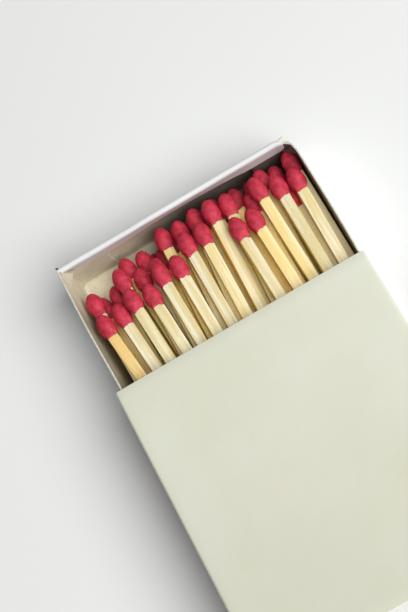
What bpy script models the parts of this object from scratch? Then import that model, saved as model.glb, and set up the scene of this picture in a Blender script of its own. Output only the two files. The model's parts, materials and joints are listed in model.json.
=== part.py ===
"""Matchbox: wooden matches in a folded card tray, drawn part way out of a glued card sleeve.

Frame: origin at the middle of the sleeve's underside, +X the way the tray is drawn out, +Z up.
"""
import math

import bmesh
import bpy
import numpy as np
from mathutils import Matrix, Vector

# Matches
MATCH_LENGTH = 0.0425
STICK_WIDTH = 0.0021
STICK_POINTS = 12
HEAD_LENGTH = 0.0051
HEAD_COAT = 0.0002
HEAD_FOOT = 0.92
HEAD_WIDEST = 0.45
HEAD_STEPS = 6
SKIRT_COAT = 0.0001
SKIRT_DIP = 0.00045
SMOOTH_ANGLE = math.radians(40)

# Tray, one folded sheet of card
TRAY_CARD = 0.00035
TRAY_INNER_WIDTH = 0.0493
TRAY_HEIGHT = 0.0142
END_PLAY = 0.01118
TAB_GAP = 0.0001
TAB_REACH = 0.0090
TAB_TURN = 0.0008
TAB_DROP = 0.0005
TAB_FOOT = 0.0009
TONGUE_DEPTH = 0.0042
TONGUE_TUCK = 0.0005
TONGUE_ROUND = 0.0015
TONGUE_INSET_LEFT = 0.0001
TONGUE_INSET_RIGHT = 0.0017
TONGUE_STEPS = 4
FOLD_STEPS = 6
CREASE_RADIUS = 0.0007
CREASE_STEPS = 3
WALL_CREASE_RADIUS = 0.00025
WALL_CREASE_STEPS = 2
CREASE_STEP = 0.00005
WALL_BOW = 0.0002
WALL_STATIONS = 10
STRIP_STATIONS = 10
FLOOR_UNDER_WALL = 0.6
EAR_REACH = 0.0009
EAR_WIDTH = 0.0012
EAR_RISE = 0.0005

# Sleeve, one card tube closed by a glued lap
SLEEVE_CARD = 0.00045
SLEEVE_FOLD_RADIUS = 0.0006
SHARPEST_FOLD = 0.0001
LAP_HEIGHT = 0.0110
SIDE_PLAY = 0.0004
PLAY_BELOW = 0.0003
PLAY_ABOVE = 0.0004
END_RECESS = 0.0002
TRAY_DRAWN = 0.0273
ARC_STEPS = 4

# Striking strips, thin coats on the narrow sides
STRIP_COAT = 0.00015
STRIP_SEAT = 0.0003
STRIP_EDGE = 0.0022
STRIP_END = 0.0008

# The pile: buried layers, and how the matches are shaken down until none presses into another
BURIED_LAYERS = ((13, -1.0, 0.95), (8, -0.93, 0.3))
BURIED_SLIDE = 0.08
BURIED_SLIDE_LEFT = 0.55
MATCH_GAP = 0.00016
STICK_EDGE = 0.00012
TAIL_SINK = 0.55
LEAST_ROLL = 5
ROLL_STEP = 7
ROLL_RANGE = 9
PILE_STATION = 0.0011
PUSH_ZONES = 3
CROWDING = 0.6
SETTLE_TURNS = 400
PARTINGS_A_TURN = 2
STILL_SHARE = 0.2
SETTLE_DROP = 0.00005
SIDE_HOLD = 0.03
HEIGHT_HOLD = 0.06
PARTING_TURNS = 350
PARTING_AGAIN_TURNS = 120
PARTED_SHARE = 0.12
PRESSED_SHARE = 0.75
LEAST_DISTANCE = 1e-9

# What follows from the sizes above
SLOT = TRAY_CARD + 2 * TAB_GAP
FOLD_THICKNESS = 2 * TRAY_CARD + SLOT
TRAY_LENGTH = MATCH_LENGTH + END_PLAY + 2 * FOLD_THICKNESS
TRAY_WIDTH = TRAY_INNER_WIDTH + 2 * TRAY_CARD
SLEEVE_LENGTH = TRAY_LENGTH + 2 * END_RECESS
BORE_WIDTH = TRAY_WIDTH + 2 * SIDE_PLAY + SLEEVE_CARD
SLEEVE_WIDTH = BORE_WIDTH + 2 * SLEEVE_CARD
SLEEVE_HEIGHT = TRAY_HEIGHT + PLAY_BELOW + PLAY_ABOVE + 2 * SLEEVE_CARD
TRAY_SIDE = -SLEEVE_CARD / 2
TRAY_UNDERSIDE = SLEEVE_CARD + PLAY_BELOW
STICK_HALF = STICK_WIDTH / 2
HEAD_RADIUS = STICK_HALF * math.sqrt(2.0) + HEAD_COAT

# The matches that show, the lowest first. Each has the place of its head and of its tail across the
# tray (1 is against the left wall, -1 against the right wall), how far it has slid back from the end
# wall (0 to 1 of its play) and the height of its head (as a share of the tray's height).
LOWER_MATCHES = (
    (0.90, 0.85, 0.50, 0.40),
    (0.75, 0.75, 0.45, 0.55),
    (0.55, 0.50, 0.05, 0.55),
    (0.30, 0.30, 0.00, 0.60),
    (0.10, 0.05, 0.00, 0.60),
    (-0.30, -0.30, 0.00, 0.60),
    (-0.50, -0.50, 0.00, 0.60),
    (-0.65, -0.65, 0.00, 0.65),
    (-0.85, -0.80, 0.00, 0.65),
    (-1.00, -0.95, 0.00, 0.65),
    (0.65, 0.60, 0.30, 0.65),
    (0.40, 0.35, 0.10, 0.65),
    (0.15, 0.15, 0.05, 0.65),
    (-0.55, -0.55, 0.30, 0.65),
    (-0.60, -0.60, 0.20, 0.75),
    (1.00, 0.90, 0.45, 0.60),
    (0.50, 0.60, 0.45, 0.70),
    (0.40, 0.40, 0.45, 0.75),
    (-0.85, -0.90, 0.55, 0.65),
)
UPPER_MATCHES = (
    (0.60, 0.55, 0.80, 0.85),
    (0.15, 0.10, 0.70, 0.85),
    (0.15, -0.05, 0.40, 0.85),
    (-0.45, -0.15, 0.10, 0.80),
    (-0.55, -0.60, 0.65, 0.85),
    (-1.00, -0.90, 0.40, 0.85),
    (0.80, 0.55, 0.90, 0.85),
    (0.25, 0.35, 0.65, 0.90),
    (0.40, 0.45, 0.90, 0.90),
    (-0.05, -0.10, 0.40, 0.85),
    (-0.20, -0.20, 0.10, 0.80),
    (-0.40, -0.40, 0.65, 0.80),
    (-0.70, -0.85, 0.35, 0.90),
    (0.95, 0.60, 0.95, 0.85),
)


def clear_scene():
    for item in list(bpy.data.objects):
        bpy.data.objects.remove(item, do_unlink=True)


def finish(name, colour, roughness):
    material = bpy.data.materials.new(name)
    material.use_nodes = True
    shader = material.node_tree.nodes["Principled BSDF"]
    shader.inputs["Base Color"].default_value = (*colour, 1.0)
    shader.inputs["Roughness"].default_value = roughness
    shader.inputs["Metallic"].default_value = 0.0
    return material


def place_mesh(name, build, materials, parent=None):
    mesh = bpy.data.meshes.new(name)
    bmesh.ops.recalc_face_normals(build, faces=build.faces)
    build.to_mesh(mesh)
    build.free()
    for material in materials:
        mesh.materials.append(material)
    item = bpy.data.objects.new(name, mesh)
    bpy.context.collection.objects.link(item)
    item.parent = parent
    return item


def joint_empty(name, location):
    empty = bpy.data.objects.new(name, None)
    empty.location = location
    bpy.context.collection.objects.link(empty)
    return empty


def corner_arc(centre, radius, start, sweep, steps):
    """Points along an arc in a plane, from the start angle through the sweep, in degrees."""
    points = []
    for step in range(steps + 1):
        angle = math.radians(start + sweep * step / steps)
        points.append((centre[0] + radius * math.cos(angle), centre[1] + radius * math.sin(angle)))
    return points


def loft_rings(build, rings):
    """Close a solid over rings of equal point count, with a flat face on each end."""
    made = [[build.verts.new(point) for point in ring] for ring in rings]
    count = len(made[0])
    for before, after in zip(made, made[1:]):
        for i in range(count):
            j = (i + 1) % count
            build.faces.new((before[i], before[j], after[j], after[i]))
    build.faces.new(list(reversed(made[0])))
    build.faces.new(made[-1])


def bent_sheet(build, rings):
    """A loft for card that curves two ways: its faces are cut into flat triangles."""
    loft_rings(build, rings)
    bmesh.ops.triangulate(build, faces=build.faces)


def sleeve_outline():
    """The sleeve's outer and inner loops seen along X, the inner one with the lap's step."""
    half, top = SLEEVE_WIDTH / 2, SLEEVE_HEIGHT
    r = SLEEVE_FOLD_RADIUS
    outer = []
    corners = ((half - r, r, -90), (half - r, top - r, 0), (r - half, top - r, 90), (r - half, r, 180))
    for y, z, start in corners:
        outer += corner_arc((y, z), r, start, 90, ARC_STEPS)
    wall = half - SLEEVE_CARD
    floor, ceiling = SLEEVE_CARD, top - SLEEVE_CARD
    r = max(SLEEVE_FOLD_RADIUS - SLEEVE_CARD, SHARPEST_FOLD)
    lap_face = wall - SLEEVE_CARD
    inner = corner_arc((lap_face - r, floor + r), r, -90, 90, ARC_STEPS)
    inner += [(lap_face, floor + LAP_HEIGHT), (wall, floor + LAP_HEIGHT)]
    inner += corner_arc((wall - r, ceiling - r), r, 0, 90, ARC_STEPS)
    inner += corner_arc((r - wall, ceiling - r), r, 90, 90, ARC_STEPS)
    inner += corner_arc((r - wall, floor + r), r, 180, 90, ARC_STEPS)
    return outer, inner


def make_sleeve(parent):
    build = bmesh.new()
    start = -SLEEVE_LENGTH / 2
    edges = []
    for loop in sleeve_outline():
        verts = [build.verts.new((start, y, z)) for y, z in loop]
        for i, vert in enumerate(verts):
            edges.append(build.edges.new((vert, verts[(i + 1) % len(verts)])))
    bmesh.ops.triangle_fill(build, use_beauty=True, use_dissolve=False, edges=edges)
    grown = bmesh.ops.extrude_face_region(build, geom=build.faces[:])
    moved = [item for item in grown["geom"] if isinstance(item, bmesh.types.BMVert)]
    bmesh.ops.translate(build, verts=moved, vec=(SLEEVE_LENGTH, 0, 0))
    card = finish("sleeve_card", (0.71, 0.72, 0.61), 0.55)
    return place_mesh("sleeve", build, [card], parent)


def make_strip(name, side, parent):
    """A thin coat of striking surface along one narrow side of the sleeve."""
    near = SLEEVE_WIDTH / 2 + STRIP_SEAT
    long, tall = SLEEVE_LENGTH - 2 * STRIP_END, SLEEVE_HEIGHT - 2 * STRIP_EDGE
    build = bmesh.new()
    bmesh.ops.create_cube(build, size=1.0)
    place = Matrix.Translation((0, side * (near + STRIP_COAT / 2), SLEEVE_HEIGHT / 2))
    stretch = Matrix.Diagonal((long, STRIP_COAT, tall, 1))
    bmesh.ops.transform(build, verts=build.verts, matrix=place @ stretch)
    coat = finish(name + "_coat", (0.12, 0.055, 0.045), 0.9)
    return place_mesh(name, build, [coat], parent)


def side_wall(build, side):
    """One long wall with the tab at each end turned in behind the end panel, lofted along its path."""
    half = TRAY_WIDTH / 2
    reach = TRAY_LENGTH / 2 - TRAY_CARD - TAB_GAP
    turn_x, turn_y = reach - TAB_TURN, half - TAB_TURN
    tab = [(reach, half - TAB_REACH, -1.0, 0.0)]
    for x, y in corner_arc((turn_x, turn_y), TAB_TURN, 0, 90, ARC_STEPS):
        tab.append((x, y, (turn_x - x) / TAB_TURN, (turn_y - y) / TAB_TURN))
    stations = (1 - 2 * step / WALL_STATIONS for step in range(1, WALL_STATIONS))
    straight = [(turn_x * station, half, 0.0, -1.0) for station in stations]
    far_tab = [(-x, y, -inward_x, inward_y) for x, y, inward_x, inward_y in reversed(tab)]
    r = WALL_CREASE_RADIUS
    crease = corner_arc((r, r + CREASE_STEP), r, -90, -90, WALL_CREASE_STEPS)
    section = [(TRAY_CARD, CREASE_STEP)] + crease + [(0.0, TRAY_HEIGHT), (TRAY_CARD, TRAY_HEIGHT)]
    rings = []
    for x, y, inward_x, inward_y in tab + straight + far_tab:
        bow = max(0.0, WALL_BOW * (1 - (x / turn_x) ** 2))
        folded = abs(x) > turn_x + CREASE_STEP
        foot, top = (TAB_FOOT, TRAY_HEIGHT - TAB_DROP) if folded else (0.0, TRAY_HEIGHT)
        rings.append([(x + inward_x * depth, side * (y + inward_y * depth + bow * z / TRAY_HEIGHT),
                       min(max(z, foot), top)) for depth, z in section])
    bent_sheet(build, rings)


def end_fold_path():
    """Half of the long strip seen from the side: out along the floor, up the end panel, over the fold
    and down the tongue. Each point has x, z, the way inward, the card's two edges there and its tuck."""
    end = TRAY_LENGTH / 2
    broad = TRAY_WIDTH / 2 - CREASE_STEP
    floor_half = TRAY_WIDTH / 2 - TRAY_CARD * FLOOR_UNDER_WALL
    fold = FOLD_THICKNESS / 2
    top = TRAY_HEIGHT - fold
    r = CREASE_RADIUS
    path = [(0.0, 0.0, 0.0, 1.0, -floor_half, floor_half, 0.0)]
    for step, (x, z) in enumerate(corner_arc((end - r, r), r, -90, 90, CREASE_STEPS)):
        wide = floor_half if step == 0 else broad
        path.append((x, z, (end - r - x) / r, (r - z) / r, -wide, wide, 0.0))
    path.append((end, top - TRAY_CARD, -1.0, 0.0, -broad, broad, 0.0))
    right, left = TONGUE_INSET_RIGHT - TRAY_WIDTH / 2, TRAY_WIDTH / 2 - TONGUE_INSET_LEFT
    for x, z in corner_arc((end - fold, top), fold, 0, 180, FOLD_STEPS):
        path.append((x, z, (end - fold - x) / fold, (top - z) / fold, right, left, 0.0))
    for step in range(1, TONGUE_STEPS + 1):
        deep = math.sin(math.radians(90 * step / TONGUE_STEPS))
        rise = max(0.0, 1 - (1 - deep) * TONGUE_DEPTH / TONGUE_ROUND)
        cut = TONGUE_ROUND * (1 - math.sqrt(1 - rise * rise))
        z = top - TONGUE_DEPTH * deep
        path.append((end - FOLD_THICKNESS, z, 1.0, 0.0, right + cut, left - cut, deep))
    return path


def long_strip(build):
    """Floor, both end panels, both folds and both tongues as one bent sheet. Between the tabs each
    tongue tucks in towards its end panel."""
    half = end_fold_path()
    mirrored = [(-x, z, -inward_x, *rest) for x, z, inward_x, *rest in half[:0:-1]]
    path = mirrored + half
    between_tabs = TRAY_WIDTH / 2 - TAB_REACH
    rings = []
    for x, z, inward_x, inward_z, right, left, tuck in path:
        outer, inner = [], []
        for step in range(STRIP_STATIONS + 1):
            y = right + (left - right) * step / STRIP_STATIONS
            pressed = math.copysign(TONGUE_TUCK * tuck * max(0.0, 1 - (y / between_tabs) ** 2), x)
            outer.append((x + pressed, y, z))
            inner.append((x + pressed + inward_x * TRAY_CARD, y, z + inward_z * TRAY_CARD))
        rings.append(outer + inner[::-1])
    bent_sheet(build, rings)


def ear(build, side, end):
    """A small point of card that stands out where the crease of the end fold stops."""
    near, far = TRAY_CARD / 4, TRAY_CARD * 3 / 4
    x, y = TRAY_LENGTH / 2, TRAY_WIDTH / 2 - near
    z = TRAY_HEIGHT - FOLD_THICKNESS / 2 - TRAY_CARD
    root = [(x - far, y - EAR_WIDTH, z), (x - near, y - EAR_WIDTH, z),
            (x - near, y, z - EAR_WIDTH), (x - far, y, z - EAR_WIDTH)]
    tip = [(x + EAR_REACH - far, y - near, z + EAR_RISE), (x + EAR_REACH, y - near, z + EAR_RISE),
           (x + EAR_REACH, y, z + EAR_RISE - near), (x + EAR_REACH - far, y, z + EAR_RISE - near)]
    loft_rings(build, [[(end * px, side * py, pz) for px, py, pz in ring] for ring in (root, tip)])


def join_solids(base, others):
    """Join closed solids to the first with Booleans, applied, and remove the ones used up."""
    for other in others:
        cut = base.modifiers.new("join", "BOOLEAN")
        cut.operation = "UNION"
        cut.solver = "EXACT"
        cut.object = other
        evaluated = base.evaluated_get(bpy.context.evaluated_depsgraph_get())
        mesh = bpy.data.meshes.new_from_object(evaluated)
        base.modifiers.clear()
        base.data = mesh
        bpy.data.objects.remove(other, do_unlink=True)


def make_tray(parent):
    card = finish("tray_card", (0.60, 0.56, 0.46), 0.8)
    build = bmesh.new()
    long_strip(build)
    tray = place_mesh("tray", build, [card])
    walls = []
    for side in (-1, 1):
        build = bmesh.new()
        side_wall(build, side)
        walls.append(place_mesh("wall", build, [card]))
    ears = []
    for side, end in ((-1, -1), (-1, 1), (1, -1), (1, 1)):
        build = bmesh.new()
        ear(build, side, end)
        ears.append(place_mesh("ear", build, [card]))
    join_solids(tray, walls + ears)
    tray.parent = parent
    tray.location = (0, 0, TRAY_UNDERSIDE)
    return tray


def square_point(angle, half):
    """A point on the outline of a square stick, in the direction of the angle."""
    c, s = math.cos(angle), math.sin(angle)
    scale = half / max(abs(c), abs(s))
    return scale * c, scale * s


def head_ring(angles, share):
    """A ring of the head at a share of its length: square at its foot, round past its widest place."""
    if share <= HEAD_WIDEST:
        radius = HEAD_RADIUS * (HEAD_FOOT + (1 - HEAD_FOOT) * share / HEAD_WIDEST)
    else:
        radius = HEAD_RADIUS * math.sqrt(1 - ((share - HEAD_WIDEST) / (1 - HEAD_WIDEST)) ** 2)
    roundness = min(1.0, share / HEAD_WIDEST)
    ring = []
    for angle in angles:
        sy, sz = square_point(angle, STICK_HALF + SKIRT_COAT)
        y = sy + (radius * math.cos(angle) - sy) * roundness
        z = sz + (radius * math.sin(angle) - sz) * roundness
        ring.append((MATCH_LENGTH - HEAD_LENGTH * (1 - share), y, z))
    return ring


def match_mesh():
    """A square splint along +X from its tail, dipped at the end: skirt, egg-shaped head and round tip."""
    angles = [math.radians(45 + 360 * i / STICK_POINTS) for i in range(STICK_POINTS)]
    dipped = MATCH_LENGTH - HEAD_LENGTH
    skirt = [dipped + SKIRT_DIP * (1 - math.cos(4 * (angle - angles[0]))) / 2 for angle in angles]
    rings = [[(0.0, *square_point(angle, STICK_HALF)) for angle in angles]]
    for coat in (0.0, SKIRT_COAT):
        rings.append([(x, *square_point(angle, STICK_HALF + coat)) for x, angle in zip(skirt, angles)])
    for step in range(1, HEAD_STEPS):
        rings.append(head_ring(angles, math.sin(math.radians(90 * step / HEAD_STEPS))))
    build = bmesh.new()
    loft_rings(build, rings)
    build.faces.ensure_lookup_table()
    for vert in bmesh.ops.poke(build, faces=[build.faces[-1]])["verts"]:
        vert.co.x = MATCH_LENGTH
    for face in build.faces:
        face.material_index = 1 if face.calc_center_median().x > dipped else 0
    bmesh.ops.recalc_face_normals(build, faces=build.faces)
    mesh = bpy.data.meshes.new("match")
    build.to_mesh(mesh)
    build.free()
    mesh.materials.append(finish("match_wood", (0.82, 0.66, 0.38), 0.7))
    mesh.materials.append(finish("match_head", (0.55, 0.03, 0.07), 0.6))
    mesh.shade_smooth()
    mesh.set_sharp_from_angle(angle=SMOOTH_ANGLE)
    return mesh


class Pile:
    """The matches as straight bars in the tray, nudged apart until none presses into another.

    Seen along the tray a stick is a rolled square, taken as its upright box with small rounds, and a
    head is a disc. A bar is held by the side place and height of its tail and of its head."""

    def __init__(self, tips, ends, rolls):
        self.tips = np.array(tips)
        self.ends = np.array(ends)
        self.rolls = np.array(rolls)
        half_boxes = [STICK_HALF * (math.cos(roll) + math.sin(roll)) for roll in rolls]
        self.cores = np.array(half_boxes) - STICK_EDGE
        self.stations = np.arange(-TRAY_LENGTH / 2, TRAY_LENGTH / 2, PILE_STATION)
        self.pairs = np.triu_indices(len(tips), 1)

    def overlaps(self):
        """How deep each pair presses in at each station, which way it parts, and how far along it is."""
        share = (self.stations - self.tips[:, None] + MATCH_LENGTH) / MATCH_LENGTH
        tails, heads = self.ends[:, None, 0], self.ends[:, None, 1]
        place = tails * (1 - share[..., None]) + heads * share[..., None]
        head = share > 1 - (HEAD_LENGTH + PILE_STATION / 2) / MATCH_LENGTH
        core = np.where(head, 0.0, self.cores[:, None])
        round_off = np.where(head, HEAD_RADIUS, STICK_EDGE)
        there = np.abs(share - 0.5) < 0.5 + PILE_STATION / (4 * MATCH_LENGTH)
        first, second = self.pairs
        apart = place[second] - place[first]
        beyond = np.abs(apart) - (core[first] + core[second])[..., None]
        outside = np.maximum(beyond, 0.0)
        distance = np.linalg.norm(outside, axis=-1)
        inside = (beyond < 0).all(axis=-1)
        apart_by = np.where(inside, beyond.max(axis=-1), distance)
        depth = round_off[first] + round_off[second] + MATCH_GAP - apart_by
        sideways = beyond[..., 0] > beyond[..., 1]
        straight = np.stack((sideways, ~sideways), axis=-1)
        outward = outside / np.maximum(distance, LEAST_DISTANCE)[..., None]
        way = np.where(inside[..., None], straight, outward)
        way = way * np.where(apart < 0, -1.0, 1.0)
        return np.where(there[first] & there[second], depth, 0.0), way, np.clip(share, 0.0, 1.0)

    def part_pairs(self):
        """Move both matches of a pair apart where they press most, in each zone along the tray."""
        depth, way, share = self.overlaps()
        moves, touches = np.zeros_like(self.ends), np.zeros(len(self.ends))
        for columns in np.array_split(np.arange(len(self.stations)), PUSH_ZONES):
            deepest = columns[depth[:, columns].argmax(axis=1)]
            pair = np.flatnonzero(depth[np.arange(len(depth)), deepest] > 0)
            at = deepest[pair]
            push = way[pair, at] * depth[pair, at][:, None] / 2
            for match, sign in ((self.pairs[0][pair], -1), (self.pairs[1][pair], 1)):
                along = share[match, at]
                total = (1 - along) ** 2 + along ** 2
                share_of_push = np.stack(((1 - along) / total, along / total), axis=1)
                np.add.at(moves, match, sign * share_of_push[:, :, None] * push[:, None, :])
                np.add.at(touches, match, 1)
        self.ends += moves / (np.maximum(touches, 1) ** CROWDING)[:, None, None]
        return depth.max()

    def keep_in_tray(self):
        """Hold tails and heads off the floor and the walls, and under the rim."""
        heads = np.full(len(self.cores), HEAD_RADIUS)
        room = np.stack((self.cores + STICK_EDGE, heads), axis=1) + MATCH_GAP / 2
        side = TRAY_INNER_WIDTH / 2 - room
        self.ends[..., 0] = np.clip(self.ends[..., 0], -side, side)
        self.ends[..., 1] = np.clip(self.ends[..., 1], TRAY_CARD + room, TRAY_HEIGHT - room)

    def settle(self, planned):
        """Shake the matches down, the planned ones held lightly to their places, then let them part."""
        plan = self.ends.copy()
        for turn in range(SETTLE_TURNS):
            left = 1 - turn / SETTLE_TURNS
            if left > STILL_SHARE:
                self.ends[..., 1] -= SETTLE_DROP * left
                self.ends[..., 0] += SIDE_HOLD * left * (plan - self.ends)[..., 0]
                self.ends[planned, 1, 1] += HEIGHT_HOLD * left * (plan - self.ends)[planned, 1, 1]
            for _ in range(PARTINGS_A_TURN):
                self.part_pairs()
                self.keep_in_tray()
        self.part(PARTING_TURNS)

    def part(self, turns):
        """Part the pairs, for so many turns at most, until no match presses into another."""
        for _ in range(turns):
            if self.part_pairs() < MATCH_GAP * PARTED_SHARE:
                break
            self.keep_in_tray()

    def leave_out_pressed(self, planned):
        """Where there is no room for all, take out the match that is pressed most, buried ones first."""
        while True:
            depth = self.overlaps()[0].max(axis=1)
            tight = depth > MATCH_GAP * PRESSED_SHARE
            if not tight.any():
                return
            pressed = np.zeros(len(self.tips))
            for matches in self.pairs:
                np.add.at(pressed, matches[tight], depth[tight])
            if pressed[~planned].any():
                pressed[planned] = 0.0
            kept = np.arange(len(self.tips)) != pressed.argmax()
            planned = planned[kept]
            self.tips, self.ends, self.rolls = self.tips[kept], self.ends[kept], self.rolls[kept]
            self.cores = self.cores[kept]
            self.pairs = np.triu_indices(len(self.tips), 1)
            self.part(PARTING_AGAIN_TURNS)


def match_plan():
    """Every match from the floor up: head side, tail side, slide back and height of the head."""
    plan = []
    for layer, (count, first, last) in enumerate(BURIED_LAYERS):
        for i in range(count):
            side = first + (last - first) * i / (count - 1)
            slide = BURIED_SLIDE * (i % 2) + BURIED_SLIDE_LEFT * max(0.0, side)
            plan.append((side, side, slide, (layer + 0.5) * 2 * HEAD_RADIUS / TRAY_HEIGHT))
    return plan + list(LOWER_MATCHES) + list(UPPER_MATCHES)


def settled_pile():
    """The planned matches, shaken down in the tray."""
    front = TRAY_LENGTH / 2 - FOLD_THICKNESS - MATCH_GAP
    play = 2 * front - MATCH_LENGTH
    head_side, tail_side = (TRAY_INNER_WIDTH / 2 - reach for reach in (HEAD_RADIUS, STICK_HALF))
    plan = match_plan()
    tips = [front - play * slide for _, _, slide, _ in plan]
    ends = [((tail_side * tail, TRAY_HEIGHT * height * TAIL_SINK), (head_side * head, TRAY_HEIGHT * height))
            for head, tail, _, height in plan]
    rolls = [math.radians(LEAST_ROLL + number * ROLL_STEP % ROLL_RANGE) for number in range(len(plan))]
    pile = Pile(tips, ends, rolls)
    planned = np.arange(len(plan)) >= sum(count for count, _, _ in BURIED_LAYERS)
    pile.settle(planned)
    pile.leave_out_pressed(planned)
    return pile


def make_matches(parent):
    """One splint with its dipped head for each settled match."""
    mesh = match_mesh()
    pile = settled_pile()
    for number, (tip_x, (tail, head), roll) in enumerate(zip(pile.tips, pile.ends, pile.rolls)):
        tip = Vector((tip_x, head[0], TRAY_UNDERSIDE + head[1]))
        way = Vector((MATCH_LENGTH, head[0] - tail[0], head[1] - tail[1])).normalized()
        item = bpy.data.objects.new("match_%02d" % (number + 1), mesh)
        bpy.context.collection.objects.link(item)
        item.parent = parent
        item.location = tip - way * MATCH_LENGTH
        turn, pitch = math.atan2(way.y, way.x), math.asin(way.z)
        item.rotation_euler = (Matrix.Rotation(turn, 3, "Z") @ Matrix.Rotation(-pitch, 3, "Y")
                               @ Matrix.Rotation(roll, 3, "X")).to_euler()


def main():
    clear_scene()
    make_sleeve(None)
    make_strip("striking_strip_left", 1, None)
    make_strip("striking_strip_right", -1, None)
    slide = joint_empty("tray_slide", (TRAY_DRAWN, TRAY_SIDE, 0))
    make_tray(slide)
    make_matches(slide)


main()
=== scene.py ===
"""A matchbox with its tray drawn half out: board sleeve, striking coats, folded tray and matches."""

import json
import math

import bmesh
import bpy
import numpy as np
from mathutils import Matrix, Vector, noise

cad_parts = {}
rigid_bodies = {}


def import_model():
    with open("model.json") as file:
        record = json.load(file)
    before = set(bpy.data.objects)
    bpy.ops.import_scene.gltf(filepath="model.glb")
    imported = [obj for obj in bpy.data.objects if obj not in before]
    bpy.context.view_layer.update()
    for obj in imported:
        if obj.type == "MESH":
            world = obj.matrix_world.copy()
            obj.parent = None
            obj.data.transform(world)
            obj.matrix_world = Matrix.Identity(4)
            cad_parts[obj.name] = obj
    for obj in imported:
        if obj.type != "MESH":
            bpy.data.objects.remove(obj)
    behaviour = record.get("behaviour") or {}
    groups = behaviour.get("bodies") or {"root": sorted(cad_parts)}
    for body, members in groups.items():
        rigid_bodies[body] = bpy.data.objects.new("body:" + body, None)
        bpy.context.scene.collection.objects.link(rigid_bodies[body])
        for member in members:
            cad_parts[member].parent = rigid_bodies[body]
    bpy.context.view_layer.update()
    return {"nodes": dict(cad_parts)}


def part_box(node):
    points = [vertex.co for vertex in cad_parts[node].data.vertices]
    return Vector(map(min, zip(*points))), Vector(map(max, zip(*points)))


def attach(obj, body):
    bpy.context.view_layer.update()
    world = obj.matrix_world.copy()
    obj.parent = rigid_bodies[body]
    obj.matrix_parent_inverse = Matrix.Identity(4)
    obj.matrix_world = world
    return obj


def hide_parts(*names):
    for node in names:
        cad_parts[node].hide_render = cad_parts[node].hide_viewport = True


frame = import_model()


# Sleeve
# One piece of box board, coated pale cream outside, scored and folded into a flat tube and glued
# along a lap inside its left narrow side. Both ends are cut edges that show the grey core.

BOARD = 0.00045
SLEEVE_CREASE = 0.0006
CREASE_SEGMENTS = 6
SLEEVE_CUTS_LONG = 28
SLEEVE_CUTS_WIDE = 26
SLEEVE_CUTS_HIGH = 8
SLEEVE_SWELL = 0.00012
SWELL_PATCHES = 40
EDGE_WEAR = 0.00006
SHARP_EDGE = math.radians(70)
LAP_HEIGHT = 0.0060
LAP_THICK = 0.94 * BOARD
LAP_TEAR = 0.00025
LAP_TEAR_FINE = 300
SLEEVE_CREAM = (0.71, 0.72, 0.58)
SLEEVE_CREAM_LIGHT = (0.74, 0.75, 0.625)
SLEEVE_YELLOWED = (0.690, 0.672, 0.400)
SLEEVE_PAINTED_SHADE = (0.42, 0.425, 0.335)
SLEEVE_SHADE_ALONG = (-0.034, 0.028)
SLEEVE_SHADE_SHARE = 0.30
COATING_ROUGH = 0.52
COATING_TOOTH = 0.000012
COATING_PRESSED = 0.00005
SLEEVE_BLUSH = (0.775, 0.715, 0.585)
BOARD_GREY = (0.67, 0.61, 0.45)
BOARD_FIBRE = (0.82, 0.77, 0.58)
BOARD_SPECK = (0.25, 0.21, 0.15)
BOARD_STRAND = (0.74, 0.69, 0.57)
BOARD_ROUGH = 0.85
BOARD_TOOTH = 0.00004
CUT_EDGE = (0.74, 0.72, 0.62)
CUT_EDGE_DARK = (0.56, 0.51, 0.40)
CUT_EDGE_ROUGH = 0.9
CUT_EDGE_FUR = 0.00006
SHADE_BY_HEADS_ALONG = (0.046, 0.052)
SHADE_BY_HEADS_ACROSS = (-0.002, 0.017)
SHADE_BY_HEADS = (0.055, 0.047, 0.036)
SHADED_BOARD = (0.20, 0.17, 0.11)
SHADED_ALONG = (0.043, 0.052)
SHADED_ACROSS = (0.005, 0.020)
SHADED_SHARE = 0.68


def new_material(name, roughness):
    """A node material with its Principled shader, and a texture coordinate node to read from."""
    material = bpy.data.materials.new(name)
    material.use_nodes = True
    tree = material.node_tree
    shader = tree.nodes["Principled BSDF"]
    shader.inputs["Roughness"].default_value = roughness
    place = tree.nodes.new("ShaderNodeTexCoord")
    return material, tree, shader, place.outputs["Object"]


def mapped(tree, source, scale, location=(0, 0, 0), rotation=(0, 0, 0)):
    """Coordinates moved, turned and stretched before a pattern reads them."""
    node = tree.nodes.new("ShaderNodeMapping")
    node.inputs["Scale"].default_value = scale
    node.inputs["Location"].default_value = location
    node.inputs["Rotation"].default_value = rotation
    tree.links.new(source, node.inputs["Vector"])
    return node.outputs["Vector"]


def mottle(tree, source, scale, detail=4.0, rough=0.55, distortion=0.0):
    """A noise pattern, as a value about 0.5."""
    node = tree.nodes.new("ShaderNodeTexNoise")
    node.inputs["Scale"].default_value = scale
    node.inputs["Detail"].default_value = detail
    node.inputs["Roughness"].default_value = rough
    node.inputs["Distortion"].default_value = distortion
    tree.links.new(source, node.inputs["Vector"])
    return node.outputs["Fac"]


def stepped(tree, value, low, high, start=0.0, end=1.0):
    """A value spread from low..high to start..end and held there outside."""
    node = tree.nodes.new("ShaderNodeMapRange")
    node.interpolation_type = "SMOOTHSTEP"
    node.inputs["From Min"].default_value = low
    node.inputs["From Max"].default_value = high
    node.inputs["To Min"].default_value = start
    node.inputs["To Max"].default_value = end
    tree.links.new(value, node.inputs["Value"])
    return node.outputs["Result"]


def tinted(tree, share, first, second):
    """A colour between two, each a fixed colour or the output of another node."""
    node = tree.nodes.new("ShaderNodeMix")
    node.data_type = "RGBA"
    for name, colour in (("A", first), ("B", second)):
        socket = next(s for s in node.inputs if s.name == name and s.type == "RGBA")
        if isinstance(colour, tuple):
            socket.default_value = (*colour, 1.0)
        else:
            tree.links.new(colour, socket)
    tree.links.new(share, node.inputs["Factor"])
    return next(s for s in node.outputs if s.type == "RGBA")


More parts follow.
